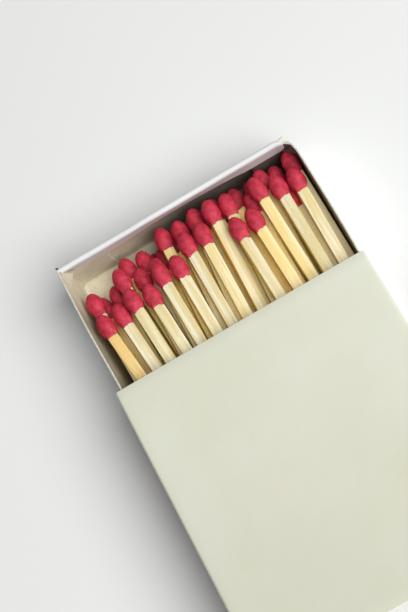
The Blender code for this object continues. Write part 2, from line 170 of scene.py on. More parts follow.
def calculated(tree, operation, first, second=None):
    """One sum on values, each a number or the output of another node."""
    node = tree.nodes.new("ShaderNodeMath")
    node.operation = operation
    for slot, value in zip(node.inputs, (first, second)):
        if isinstance(value, (int, float)):
            slot.default_value = value
        elif value is not None:
            tree.links.new(value, slot)
    return node.outputs["Value"]


def split_up(tree, source):
    """The three coordinates of a place, each as a value."""
    node = tree.nodes.new("ShaderNodeSeparateXYZ")
    tree.links.new(source, node.inputs["Vector"])
    return node.outputs


def raised(tree, shader, height, distance, strength=1.0, after=None):
    """Bump of a real depth, in metres, that can follow on from another bump."""
    node = tree.nodes.new("ShaderNodeBump")
    node.inputs["Distance"].default_value = distance
    node.inputs["Strength"].default_value = strength
    tree.links.new(height, node.inputs["Height"])
    if after is not None:
        tree.links.new(after, node.inputs["Normal"])
    tree.links.new(node.outputs["Normal"], shader.inputs["Normal"])
    return node.outputs["Normal"]


def coated_board():
    """Pale cream coating on the outside of the sleeve: cloudy, a little yellowed, with painted shade to the
    rear.
    """
    material, tree, shader, place = new_material("coated_board", COATING_ROUGH)
    clouds = stepped(tree, mottle(tree, place, 55.0, 3.0), 0.35, 0.68)
    colour = tinted(tree, clouds, SLEEVE_CREAM, SLEEVE_CREAM_LIGHT)
    yellow = mottle(tree, mapped(tree, place, (1, 1, 1), (0.4, 0.1, 0)), 38.0, 2.0)
    colour = tinted(tree, stepped(tree, yellow, 0.56, 0.76, 0.0, 0.30), colour, SLEEVE_YELLOWED)
    blush = mottle(tree, mapped(tree, place, (1, 1, 1), (0.9, 0.7, 0)), 60.0, 2.0)
    colour = tinted(tree, stepped(tree, blush, 0.58, 0.74, 0.0, 0.35), colour, SLEEVE_BLUSH)
    # Painted shade: the coating is darkened towards the rear end of the sleeve.
    dull = stepped(tree, split_up(tree, place)["X"], *SLEEVE_SHADE_ALONG, SLEEVE_SHADE_SHARE, 0.0)
    colour = tinted(tree, dull, colour, SLEEVE_PAINTED_SHADE)
    fibres = mottle(tree, mapped(tree, place, (1.0, 2.6, 2.6)), 1500.0, 3.0, 0.6)
    colour = tinted(tree, stepped(tree, fibres, 0.58, 0.78, 0.0, 0.10), colour, SLEEVE_YELLOWED)
    tree.links.new(colour, shader.inputs["Base Color"])
    tooth = mottle(tree, place, 2600.0, 3.0, 0.6)
    pressed = mottle(tree, place, 420.0, 3.0, 0.5)
    first = raised(tree, shader, tooth, COATING_TOOTH)
    raised(tree, shader, pressed, COATING_PRESSED, 0.6, first)
    return material


def raw_board(name, rubbed=0.0):
    """Uncoated grey-beige board with short fibres. In the tray it has painted shade: near black where the
    match heads lie, and darker by the long walls.
    """
    material, tree, shader, place = new_material(name, BOARD_ROUGH)
    clouds = stepped(tree, mottle(tree, place, 160.0, 4.0), 0.3, 0.7)
    colour = tinted(tree, clouds, BOARD_GREY, BOARD_FIBRE)
    specks = stepped(tree, mottle(tree, place, 1900.0, 2.0, 0.7), 0.62, 0.74, 0.0, 0.45)
    colour = tinted(tree, specks, colour, BOARD_SPECK)
    strands = mottle(tree, mapped(tree, place, (1, 4, 4)), 700.0, 3.0, 0.6, 1.2)
    colour = tinted(tree, stepped(tree, strands, 0.55, 0.75, 0.0, 0.4), colour, BOARD_STRAND)
    # Painted shade in the tray: rubbed sets how dark the board is painted where the match heads lie at the
    # front end, right of the middle.
    if rubbed:
        parts = split_up(tree, place)
        shade_along = stepped(tree, parts["X"], *SHADE_BY_HEADS_ALONG, 0.0, rubbed)
        shade_across = stepped(tree, parts["Y"], *SHADE_BY_HEADS_ACROSS, 1.0, 0.0)
        colour = tinted(tree, calculated(tree, "MULTIPLY", shade_along, shade_across), colour, SHADE_BY_HEADS)
        # Painted shade: the board is darkened by the long walls, back from the front end.
        behind = stepped(tree, parts["X"], *SHADED_ALONG, SHADED_SHARE, 0.0)
        by_wall = stepped(tree, calculated(tree, "ABSOLUTE", parts["Y"]), *SHADED_ACROSS)
        colour = tinted(tree, calculated(tree, "MULTIPLY", behind, by_wall), colour, SHADED_BOARD)
    tree.links.new(colour, shader.inputs["Base Color"])
    raised(tree, shader, mottle(tree, place, 1400.0, 4.0, 0.65), BOARD_TOOTH)
    return material


def cut_board():
    """The cut edge of the board: pale, a little furry, with its layers just to be seen."""
    material, tree, shader, place = new_material("cut_board", CUT_EDGE_ROUGH)
    fur = mottle(tree, place, 2400.0, 4.0, 0.7)
    colour = tinted(tree, stepped(tree, fur, 0.35, 0.7), CUT_EDGE, CUT_EDGE_DARK)
    tree.links.new(colour, shader.inputs["Base Color"])
    raised(tree, shader, fur, CUT_EDGE_FUR)
    return material


def open_for_editing(piece, mode):
    """Take one piece alone into edit mode, with vertices, edges or faces to pick."""
    bpy.ops.object.select_all(action="DESELECT")
    piece.select_set(True)
    bpy.context.view_layer.objects.active = piece
    bpy.ops.object.mode_set(mode="EDIT")
    bpy.ops.mesh.select_mode(type=mode)
    bpy.ops.mesh.select_all(action="DESELECT")


def pick(piece, parts, wanted):
    """Select only the vertices, edges or faces of the open piece that pass a test."""
    bpy.ops.mesh.select_all(action="DESELECT")
    build = bmesh.from_edit_mesh(piece.data)
    for part in getattr(build, parts):
        if wanted(part):
            part.select_set(True)
    bmesh.update_edit_mesh(piece.data)


def close_editing():
    """Put the open piece back in object mode."""
    bpy.ops.object.mode_set(mode="OBJECT")


def cut_across(axis, places):
    """Cut the open piece clean across at each place, so that it has points there to shape."""
    for place in places:
        bpy.ops.mesh.select_all(action="SELECT")
        at, way = [0.0, 0.0, 0.0], [0.0, 0.0, 0.0]
        at[axis] = place
        way[axis] = 1.0
        bpy.ops.mesh.bisect(plane_co=at, plane_no=way)


def add_modifier(piece, kind, **settings):
    """Put a modifier on a piece, set it, and apply it at once."""
    bpy.ops.object.select_all(action="DESELECT")
    piece.select_set(True)
    bpy.context.view_layer.objects.active = piece
    modifier = piece.modifiers.new(kind.lower(), kind)
    for name, value in settings.items():
        setattr(modifier, name, value)
    bpy.ops.object.modifier_apply(modifier=modifier.name)


def wear_edges(piece, segments=2):
    """Round every sharp edge of a piece a little, as handling does."""
    add_modifier(piece, "BEVEL", width=EDGE_WEAR, segments=segments,
                 limit_method="ANGLE", angle_limit=SHARP_EDGE)


def move_points(piece, shape):
    """Move every point of a finished mesh to where a rule puts it."""
    for vert in piece.data.vertices:
        vert.co = shape(vert.co.copy())
    piece.data.update()


def settle_in(piece, name, body, nodes=(), angle=40.0):
    """Give the finished piece its name and smooth faces, and let it ride on its body."""
    bpy.ops.object.select_all(action="DESELECT")
    piece.select_set(True)
    bpy.context.view_layer.objects.active = piece
    bpy.ops.object.transform_apply(location=True, rotation=True, scale=True)
    bpy.ops.object.shade_smooth_by_angle(angle=math.radians(angle))
    piece.name = name
    piece.data.name = name
    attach(piece, body)
    if nodes:
        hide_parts(*nodes)


def evenly(low, high, count):
    """Places that share out a length evenly, without its two ends."""
    return [low + (high - low) * step / count for step in range(1, count)]


def make_sleeve():
    """A box with open ends and four rounded creases, given the board's thickness, and its lap inside."""
    low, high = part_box("sleeve")
    middle, size = (low + high) / 2, high - low
    bpy.ops.object.select_all(action="DESELECT")
    bpy.ops.mesh.primitive_cube_add(size=1, location=middle, scale=size)
    sleeve = bpy.context.object
    bpy.ops.object.transform_apply(location=True, rotation=True, scale=True)
    open_for_editing(sleeve, "FACE")
    pick(sleeve, "faces", lambda face: abs(face.normal.x) > 0.9)
    bpy.ops.mesh.delete(type="ONLY_FACE")
    bpy.ops.mesh.select_mode(type="EDGE")
    pick(sleeve, "edges", lambda edge: abs(edge.verts[0].co.x - edge.verts[1].co.x) > size.x / 2)
    bpy.ops.mesh.bevel(offset=SLEEVE_CREASE, segments=CREASE_SEGMENTS, affect="EDGES")
    cut_across(0, evenly(low.x, high.x, SLEEVE_CUTS_LONG))
    cut_across(1, evenly(low.y, high.y, SLEEVE_CUTS_WIDE))
    cut_across(2, evenly(low.z, high.z, SLEEVE_CUTS_HIGH))
    close_editing()

    def swell(point):
        """The broad face stands up a little in its middle, not quite evenly."""
        across = 1 - (2 * (point.y - middle.y) / size.y) ** 2
        along = 1 - (2 * (point.x - middle.x) / size.x) ** 2
        if point.z > high.z - SLEEVE_CREASE:
            dent = noise.noise(Vector((point.x * SWELL_PATCHES, point.y * SWELL_PATCHES, 3.0)))
            rise = max(across, 0.0) * (0.6 + 0.5 * along + 0.5 * dent)
            point.z += SLEEVE_SWELL * rise - SLEEVE_SWELL * 0.3
        return point

    move_points(sleeve, swell)
    for material in (coated_board(), raw_board("raw_board"), cut_board()):
        sleeve.data.materials.append(material)
    add_modifier(sleeve, "SOLIDIFY", thickness=BOARD, offset=-1.0, use_even_offset=True,
                 material_offset=1, material_offset_rim=2)
    wear_edges(sleeve)

    bpy.ops.object.select_all(action="DESELECT")
    lap_size = Vector((size.x - 2 * EDGE_WEAR, LAP_THICK, LAP_HEIGHT))
    lap_middle = Vector((middle.x, high.y - BOARD - lap_size.y / 2, low.z + BOARD + LAP_HEIGHT / 2))
    bpy.ops.mesh.primitive_cube_add(size=1, location=lap_middle, scale=lap_size)
    lap = bpy.context.object
    bpy.ops.object.transform_apply(location=True, rotation=True, scale=True)
    open_for_editing(lap, "FACE")
    cut_across(0, evenly(low.x, high.x, SLEEVE_CUTS_LONG))
    close_editing()

    def torn_along(point):
        """The lap's upper edge is a little torn."""
        if point.z > lap_middle.z:
            point.z += LAP_TEAR * noise.noise(point * LAP_TEAR_FINE)
        return point

    move_points(lap, torn_along)
    wear_edges(lap)
    lap.data.materials.append(bpy.data.materials["raw_board"])
    settle_in(lap, "sleeve_lap", "sleeve")
    settle_in(sleeve, "sleeve_board", "sleeve", ["sleeve"])


make_sleeve()


# Striking coats
# A red-brown paste of glass powder and phosphorus in glue, rolled on both narrow sides of the
# sleeve after it is folded. It is rough, thin and a little uneven along its edges.

COAT_THICK = 0.00010
COAT_CUTS_LONG = 110
COAT_CUTS_HIGH = 22
COAT_GRAIN = 1500
COAT_FEATHER = 0.0006
COAT_RAGGED_SIDE = 0.00012
COAT_RAGGED_FINE = 900
COAT_RAGGED_END = 0.00010
COAT_TOOTH = 0.00010
COAT_ROUGH = 0.88
ON_THE_RIM = 1e-6
COAT_DARK = (0.085, 0.038, 0.030)
COAT_RED = (0.175, 0.070, 0.052)
COAT_GLINT = (0.34, 0.24, 0.20)


def striking_coat():
    """Dark red-brown grit, with a glint of glass here and there."""
    material, tree, shader, place = new_material("striking_coat", COAT_ROUGH)
    grit = mottle(tree, place, 2300.0, 5.0, 0.75)
    colour = tinted(tree, stepped(tree, grit, 0.38, 0.64), COAT_DARK, COAT_RED)
    glint = stepped(tree, mottle(tree, place, 5200.0, 1.0), 0.66, 0.74, 0.0, 0.6)
    colour = tinted(tree, glint, colour, COAT_GLINT)
    tree.links.new(colour, shader.inputs["Base Color"])
    raised(tree, shader, grit, COAT_TOOTH)
    return material


def make_coats():
    """A thin slab half sunk in each narrow side, rough on its face and ragged round its rim."""
    material = striking_coat()
    sleeve_low, sleeve_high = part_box("sleeve")
    for name, side, face in (("left", 1, sleeve_high.y), ("right", -1, sleeve_low.y)):
        low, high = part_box("striking_strip_" + name)
        bpy.ops.object.select_all(action="DESELECT")
        middle = (low + high) / 2
        bpy.ops.mesh.primitive_cube_add(size=1, location=(middle.x, face, middle.z),
                                        scale=(high.x - low.x, 2 * COAT_THICK, high.z - low.z))
        coat = bpy.context.object
        bpy.ops.object.transform_apply(location=True, rotation=True, scale=True)
        open_for_editing(coat, "FACE")
        cut_across(0, evenly(low.x, high.x, COAT_CUTS_LONG))
        cut_across(2, evenly(low.z, high.z, COAT_CUTS_HIGH))
        close_editing()

        def roughen(point):
            """The grain of the face, thinner towards the rim, and the ragged line of the rim."""
            grain = noise.noise(point * COAT_GRAIN)
            rim_x = min(point.x - low.x, high.x - point.x)
            rim_z = min(point.z - low.z, high.z - point.z)
            if rim_z < ON_THE_RIM:
                ragged = COAT_RAGGED_SIDE * noise.noise(point * COAT_RAGGED_FINE)
                point.z += ragged * (1 if point.z < middle.z else -1)
            if rim_x < ON_THE_RIM:
                point.x += COAT_RAGGED_END * grain
            if (point.y - face) * side > 0:
                fade = min(1.0, rim_x / COAT_FEATHER, rim_z / COAT_FEATHER)
                point.y = face + side * COAT_THICK * (0.25 + 0.55 * fade + 0.2 * grain)
            return point

        move_points(coat, roughen)
        coat.data.materials.append(material)
        settle_in(coat, "striking_coat_" + name, "sleeve", ["striking_strip_" + name], 60.0)


make_coats()


# Tray
# One sheet of grey board, white coated outside. The long walls stand up from the floor and turn in
# as tabs behind the end panels, which fold over double, so the white side shows on their tongues.

TRAY_CARD = 0.00035
TAB_GAP = 0.0001
TAB_TURN = 0.0008
TAB_REACH = 0.0090
TAB_DROP = 0.0005
TRAY_CREASE = 0.0007
CREASE_STEPS = 4
FLOOR_CUTS_LONG = 36
FLOOR_CUTS_WIDE = 30
WALL_STEPS = 8
TAB_STEPS = 6
PANEL_STEPS = 7
FOLD_RADIUS = 0.000625
FOLD_STEPS = 10
FOLD_WRINKLE = 0.00006
FOLD_ZONE = 0.0035
TONGUE_DEPTH = 0.0031
TONGUE_LEAN = 0.0006
TONGUE_INSET_LEFT = 0.0001
TONGUE_INSET_RIGHT = 0.0017
TONGUE_ROUND = 0.0015
TONGUE_STEPS = (0.15, 0.3, 0.45, 0.6, 0.7, 0.8, 0.88, 0.95, 1.0)
WALL_BOW = 0.0002
RIM_WAVE = 0.00008
AT_RIM = 1e-5
WALL_ZONE = 0.0003
FLARE_LEFT = 0.00058
FLARE_ALONG = (-0.1, 0.75)
BOW_RIGHT = 0.00016
BOW_FROM = -0.15
LEAN_FROM = 0.3
CORNER_PULL = 0.0012
CORNER_WIDE = 0.0028
CORNER_LONG = 0.0045
TONGUE_SPRING = 0.0003
EAR_REACH = 0.0009
NEAR_ENOUGH = 2e-6
CORNER_PATCH = 0.0022
PATCH_MIDDLE = 0.55 * TRAY_CARD
PATCH_THICK = 0.8 * TRAY_CARD
PATCH_EDGE = 0.3 * TRAY_CARD
SHADE_BY_HEADS_SHARE = 0.85
WHITE_COAT = (0.86, 0.87, 0.87)
WHITE_COAT_WARM = (0.81, 0.815, 0.81)
WHITE_COAT_FIBRE = (0.62, 0.60, 0.58)
WHITE_COAT_ROUGH = 0.45
WHITE_COAT_TOOTH = 0.000015
WHITE_COAT_ROLLED = 0.00006


def white_board():
    """White clay coating on the outside of the tray's sheet, cracked a little where it is folded."""
    material, tree, shader, place = new_material("white_board", WHITE_COAT_ROUGH)
    clouds = stepped(tree, mottle(tree, place, 120.0, 3.0), 0.35, 0.7)
    colour = tinted(tree, clouds, WHITE_COAT, WHITE_COAT_WARM)
    fibres = mottle(tree, mapped(tree, place, (3.0, 1.0, 3.0)), 900.0, 3.0, 0.7)
    colour = tinted(tree, stepped(tree, fibres, 0.60, 0.75, 0.0, 0.25), colour, WHITE_COAT_FIBRE)
    tree.links.new(colour, shader.inputs["Base Color"])
    first = raised(tree, shader, mottle(tree, place, 2200.0, 3.0), WHITE_COAT_TOOTH)
    rolled = mottle(tree, mapped(tree, place, (1.0, 0.35, 1.0)), 500.0, 3.0)
    raised(tree, shader, rolled, WHITE_COAT_ROLLED, 0.6, first)
    return material


def bend_on(steps):
    """Draw the picked edge of the sheet on by each step in turn, as the card is folded."""
    for step in steps:
        bpy.ops.mesh.extrude_region_move(TRANSFORM_OT_translate={"value": step})


def arc_steps(radius, start, sweep, count, out, up):
    """The steps round an arc, between two directions in space, angles in degrees from out to up."""
    places = []
    for step in range(count + 1):
        angle = math.radians(start + sweep * step / count)
        places.append(radius * (math.cos(angle) * out + math.sin(angle) * up))
    return [after - before for before, after in zip(places, places[1:])]


def spread_picked(piece, change):
    """Move the picked points of the open sheet across it, by a rule."""
    build = bmesh.from_edit_mesh(piece.data)
    for vert in build.verts:
        if vert.select:
            vert.co.y = change(vert.co.y)
    bmesh.update_edit_mesh(piece.data)


def near(value, place):
    """Whether a point of the sheet lies at a place, but for rounding."""
    return abs(value - place) < NEAR_ENOUGH


def eased(value, low, high):
    """How far a value has come from low to high, from 0 to 1, with soft ends."""
    share = min(1.0, max(0.0, (value - low) / (high - low)))
    return share * share * (3 - 2 * share)


def make_tray():
    """Fold the sheet up from its floor: the long walls with their tabs first, then the double ends."""
    low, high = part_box("tray")
    middle = (low + high) / 2
    end = (high.x - low.x) / 2 - EAR_REACH
    side = (high.y - low.y) / 2 - WALL_BOW
    base, rim = low.z, high.z
    up = Vector((0, 0, 1))
    bpy.ops.object.select_all(action="DESELECT")
    floor_long, floor_wide = end - TRAY_CREASE, side - TRAY_CREASE
    bpy.ops.mesh.primitive_plane_add(size=1, location=(middle.x, middle.y, base))
    tray = bpy.context.object
    tray.scale = (2 * floor_long, 2 * floor_wide, 1)
    bpy.ops.object.transform_apply(location=True, rotation=True, scale=True)
    wall_end = end - TRAY_CARD - TAB_GAP - TAB_TURN
    tongue_half = side - (TONGUE_INSET_LEFT + TONGUE_INSET_RIGHT) / 2
    tongue_middle = middle.y + (TONGUE_INSET_RIGHT - TONGUE_INSET_LEFT) / 2
    open_for_editing(tray, "EDGE")
    cut_across(0, [middle.x - wall_end, middle.x + wall_end])
    cut_across(0, evenly(middle.x - wall_end, middle.x + wall_end, FLOOR_CUTS_LONG))
    cut_across(1, evenly(low.y + TRAY_CREASE, high.y - TRAY_CREASE, FLOOR_CUTS_WIDE))

    for way in (1, -1):
        out = Vector((0, way, 0))
        line = middle.y + way * floor_wide
        pick(tray, "edges", lambda edge: all(near(v.co.y, line) and near(v.co.z, base)
                                             and abs(v.co.x - middle.x) < wall_end + NEAR_ENOUGH
                                             for v in edge.verts))
        tab_height = rim - base - TRAY_CREASE - TAB_DROP
        rise = [up * tab_height / WALL_STEPS] * WALL_STEPS + [up * TAB_DROP]
        bend_on(arc_steps(TRAY_CREASE, -90, 90, CREASE_STEPS, out, up) + rise)
        for heading in (1, -1):
            on = Vector((heading, 0, 0))
            line_x = middle.x + heading * wall_end
            pick(tray, "edges", lambda edge: all(near(v.co.x, line_x) and near(v.co.y, middle.y + way * side)
                                                 and base + TRAY_CREASE / 2 < v.co.z < rim - TAB_DROP / 2
                                                 for v in edge.verts))
            tab = [-out * (TAB_REACH - TAB_TURN) / TAB_STEPS] * TAB_STEPS
            bend_on(arc_steps(TAB_TURN, 90, -90, CREASE_STEPS, on, out) + tab)

    for heading in (1, -1):
        out = Vector((heading, 0, 0))
        line = middle.x + heading * floor_long
        pick(tray, "edges", lambda edge: all(near(v.co.x, line) and near(v.co.z, base) for v in edge.verts))
        crease = arc_steps(TRAY_CREASE, -90, 90, CREASE_STEPS, out, up)
        bend_on(crease[:1])
        spread_picked(tray, lambda y: middle.y + (y - middle.y) * side / floor_wide)
        panel = rim - base - TRAY_CREASE - FOLD_RADIUS
        bend_on(crease[1:] + [up * (panel - TRAY_CARD) / PANEL_STEPS] * PANEL_STEPS)
        bend_on([up * TRAY_CARD])
        spread_picked(tray, lambda y: tongue_middle + (y - middle.y) * tongue_half / side)
        bend_on(arc_steps(FOLD_RADIUS, 0, 180, FOLD_STEPS, out, up))
        gone = 0.0
        for share in TONGUE_STEPS:
            bend_on([-up * TONGUE_DEPTH * (share - gone)])
            gone = share
    close_editing()

    def shaped_tongue(point):
        """Round the lower corners of each tongue, and lean it in over the matches between the tabs."""
        from_end = end - abs(point.x - middle.x)
        drop = (rim - FOLD_RADIUS - point.z) / TONGUE_DEPTH
        if near(from_end, 2 * FOLD_RADIUS) and -0.01 < drop < 1.01:
            rest = min(max(0.0, (drop - 1) * TONGUE_DEPTH / TONGUE_ROUND + 1), 1.0)
            pulled = TONGUE_ROUND * (1 - math.sqrt(1 - rest * rest))
            between = max(0.0, 1 - ((point.y - middle.y) / (side - TAB_REACH)) ** 2)
            sprung = eased((point.y - middle.y) / side, 0.35, 0.95)
            shift = -TONGUE_LEAN * between - TONGUE_SPRING * sprung
            point.x += math.copysign(shift * max(drop, 0.0), point.x - middle.x)
            point.y = tongue_middle + (point.y - tongue_middle) * (tongue_half - pulled) / tongue_half
        return point

    inner_half = side - WALL_ZONE

    def handled(point):
        """The small dents and bows of a card box that has been handled."""
        y = point.y - middle.y
        along = 1 - ((point.x - middle.x) / end) ** 2
        height = (point.z - base) / (rim - base)
        if abs(y) > inner_half and abs(point.x - middle.x) < wall_end:
            wave = 0.5 * noise.noise(Vector((point.x * 60, 7.0, point.z * 40)))
            point.y += math.copysign(WALL_BOW * along * height * (0.8 + wave), y)
            if point.z > rim - AT_RIM:
                point.z += RIM_WAVE * noise.noise(Vector((point.x * 220, y * 10, 2.0))) - RIM_WAVE
        along_wall = (point.x - middle.x) / wall_end
        if y > 0:
            lean = FLARE_LEFT * eased(along_wall, *FLARE_ALONG)
        else:
            bowed = min(1.0, max(0.0, (along_wall - BOW_FROM) / (1 - BOW_FROM)))
            lean = BOW_RIGHT * math.sin(math.pi * bowed)
        outward = min(1.0, max(0.0, abs(y) / side - LEAN_FROM) / (1 - LEAN_FROM))
        point.y += math.copysign(lean * height * outward, y)
        pull = eased(-y, side - CORNER_WIDE, side) * eased(point.x - middle.x, end - CORNER_LONG, end)
        pull *= eased(height, 0.2, 0.9)
        point += Vector((-CORNER_PULL * pull, 0.35 * CORNER_PULL * pull, 0))
        from_end = end - abs(point.x - middle.x)
        if from_end < FOLD_ZONE and height > 0.6:
            wave = noise.noise(Vector((point.x * 90, point.y * 160, point.z * 120)))
            fine = noise.noise(Vector((point.x * 300, point.y * 520, point.z * 400)))
            point.z += (FOLD_WRINKLE * wave + 0.4 * FOLD_WRINKLE * fine) - FOLD_WRINKLE * 0.8
            point.x += (FOLD_WRINKLE * wave - FOLD_WRINKLE) * (1 if point.x > middle.x else -1)
        return point

    move_points(tray, shaped_tongue)
    open_for_editing(tray, "FACE")
    bpy.ops.mesh.select_all(action="SELECT")
    bpy.ops.mesh.normals_make_consistent(inside=False)
    build = bmesh.from_edit_mesh(tray.data)
    floor_middle = Vector((middle.x, middle.y, base))
    floor_face = min(build.faces, key=lambda face: (face.calc_center_median() - floor_middle).length)
    if floor_face.normal.z > 0:
        bpy.ops.mesh.flip_normals()
    close_editing()
    move_points(tray, handled)
    for material in (white_board(), raw_board("tray_inside", SHADE_BY_HEADS_SHARE), bpy.data.materials["cut_board"]):
        tray.data.materials.append(material)
    add_modifier(tray, "SOLIDIFY", thickness=TRAY_CARD, offset=-1.0, use_even_offset=True,
                 material_offset=1, material_offset_rim=2)
    wear_edges(tray, 1)
    settle_in(tray, "tray_board", "tray", ["tray"])

    along = end - CORNER_PATCH / 2 - TRAY_CARD
    across = side - CORNER_PATCH / 2 - TRAY_CARD
    for heading, end_name in ((1, "front"), (-1, "rear")):
        for way, side_name in ((1, "left"), (-1, "right")):
            spot = (middle.x + heading * along, middle.y + way * across, base + PATCH_MIDDLE)
            bpy.ops.object.select_all(action="DESELECT")
            bpy.ops.mesh.primitive_cube_add(size=1, location=spot,
                                            scale=(CORNER_PATCH, CORNER_PATCH, PATCH_THICK))
            patch = bpy.context.object
            bpy.ops.object.transform_apply(location=True, rotation=True, scale=True)
            add_modifier(patch, "BEVEL", width=PATCH_EDGE, segments=2)
            patch.data.materials.append(bpy.data.materials["tray_inside"])
            settle_in(patch, "tray_corner_" + end_name + "_" + side_name, "tray", ["tray"])


make_tray()


# Torn points of the end fold
# Where the crease of the front fold stops, the card has torn: a point of it stands out at the left,
# painted dark as shade, and a thin sliver runs on from the fold's rounded end at the right.

TORN_THICK = 0.00022
TORN_CUTS = 5
TORN_CURL = 0.00012
TORN_ROUGH = 0.00004
TORN_ROUGH_FINE = 4000
TORN_TOOTH = 0.00005
TIP_BLUNT = 0.97
TORN_SHADE_DARK = (0.030, 0.027, 0.014)
TORN_PALE = (0.30, 0.28, 0.19)
LEFT_POINT = ((0.05385, 0.02485), (0.05535, 0.02490), (0.05562, 0.02530))
LEFT_BELOW_RIM = 0.00035
LEFT_TIP_DROP = 0.0003
RIGHT_SLIVER = ((0.05440, -0.02255), (0.05495, -0.02270), (0.05525, -0.02450))
RIGHT_BELOW_RIM = 0.0001
RIGHT_TIP_DROP = 0.0002


def torn_board():
    """Board torn through its grey core, painted near black as shade, with paler patches."""
    material, tree, shader, place = new_material("torn_dark", CUT_EDGE_ROUGH)
    patches = stepped(tree, mottle(tree, place, 1500.0, 2.0), 0.45, 0.65)
    tree.links.new(tinted(tree, patches, TORN_SHADE_DARK, TORN_PALE), shader.inputs["Base Color"])
    raised(tree, shader, mottle(tree, place, 2600.0, 3.0), TORN_TOOTH)
    return material


def make_torn_point(name, corners, height, tip_drop, material):
    """A three-cornered scrap of card, still held by its two first corners, that curls at its tip."""
    first, second, tip = (Vector((*corner, height)) for corner in corners)
    tip.z -= tip_drop
    bpy.ops.object.select_all(action="DESELECT")
    bpy.ops.mesh.primitive_plane_add(size=1, location=(0, 0, 0))
    scrap = bpy.context.object
    open_for_editing(scrap, "FACE")
    bpy.ops.mesh.select_all(action="SELECT")
    bpy.ops.mesh.subdivide(number_cuts=TORN_CUTS)
    close_editing()

    def laid(point):
        """Lay the square sheet out between the three corners, with its far edge drawn in to the tip."""
        along, across = point.x + 0.5, point.y + 0.5
        foot = first.lerp(second, across)
        place = foot.lerp(tip, along * TIP_BLUNT)
        place.z += TORN_CURL * math.sin(along * math.pi) + TORN_ROUGH * noise.noise(place * TORN_ROUGH_FINE)
        return place

    move_points(scrap, laid)
    scrap.data.materials.append(material)
    add_modifier(scrap, "SOLIDIFY", thickness=TORN_THICK, offset=-1.0)
    open_for_editing(scrap, "FACE")
    bpy.ops.mesh.select_all(action="SELECT")
    bpy.ops.mesh.normals_make_consistent(inside=False)
    close_editing()
    settle_in(scrap, name, "tray", ["tray"])


rim_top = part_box("tray")[1].z
make_torn_point("torn_point_left", LEFT_POINT, rim_top - LEFT_BELOW_RIM, LEFT_TIP_DROP, torn_board())
make_torn_point("torn_sliver_right", RIGHT_SLIVER, rim_top - RIGHT_BELOW_RIM, RIGHT_TIP_DROP,
                bpy.data.materials["cut_board"])


# Matches
# Square splints sawn from pale poplar, each dipped at one end: the paste climbs a little way down the
# stick and dries to an egg-shaped head. No two have the same grain, tint, warp or head.

SPLINT_LONG = 0.0425
SPLINT_HALF = 0.00105
SPLINT_EDGE = 0.00007
SPLINT_CUTS_LONG = 24
SPLINT_CUTS_WIDE = 4
SPLINT_WARP = 0.00012
SPLINT_ROUGH = 0.00002
SPLINT_TORN_END = 0.00012
AT_TAIL = 1e-5
HEAD_LONG = 0.0051
HEAD_WIDE = 0.00172
HEAD_SKIRT = 0.00009
HEAD_WIDEST = 0.45
HEAD_NECK = 0.90
HEAD_PAST_SPLINT = 0.3
HEAD_AROUND = 40
HEAD_RINGS = 30
RING_SPREAD = 1.25
HEAD_FOOT = 0.14
HEAD_CORNER = 1.36
HEAD_GRAIN = 0.00004
SKIRT_REACH = 0.2
SKIRT_RUN = 0.00028
SKIRT_DIP = 0.00042
WOOD_PALE = (0.68, 0.66, 0.51)
WOOD_CREAM = (0.58, 0.49, 0.25)
WOOD_GOLD = (0.93, 0.63, 0.12)
WOOD_AMBER = (0.70, 0.43, 0.09)
WOOD_FIBRE = (0.56, 0.36, 0.10)
WOOD_VESSEL = (0.95, 0.90, 0.72)
WOOD_ROUGH = 0.62
WOOD_GLOW = 0.40
WOOD_GLOW_REACH = (0.0018, 0.0010, 0.0003)
STREAK_DEPTH = 0.00004
GRAIN_DEPTH = 0.00005
GOLD_SHARE = 0.75
SHADED_SIDE_SHARE = 0.85
AMBER_SHARE = 0.62
TINT_MIDDLE = 0.44
TINT_SPREAD = 0.42
BURIED_SHADE_GOLD = 1.1
BURIED_SHADE_SHARE = 0.7
HEAD_PINK = (0.66, 0.044, 0.086)
HEAD_RED = (0.42, 0.018, 0.038)
HEAD_CHALK = (0.74, 0.15, 0.21)
HEAD_PAINTED_SHADE = (0.22, 0.012, 0.018)
HEAD_PIT = (0.22, 0.008, 0.02)
HEAD_ROUGH = 0.58
HEAD_SHINE = 0.35
GRIT_DEPTH = 0.00003
PIT_DEPTH = 0.00006


def attribute_of(tree, name, output):
    """A value or vector that is noted on the points of a piece."""
    node = tree.nodes.new("ShaderNodeAttribute")
    node.attribute_type = "GEOMETRY"
    node.attribute_name = name
    return node.outputs[output]


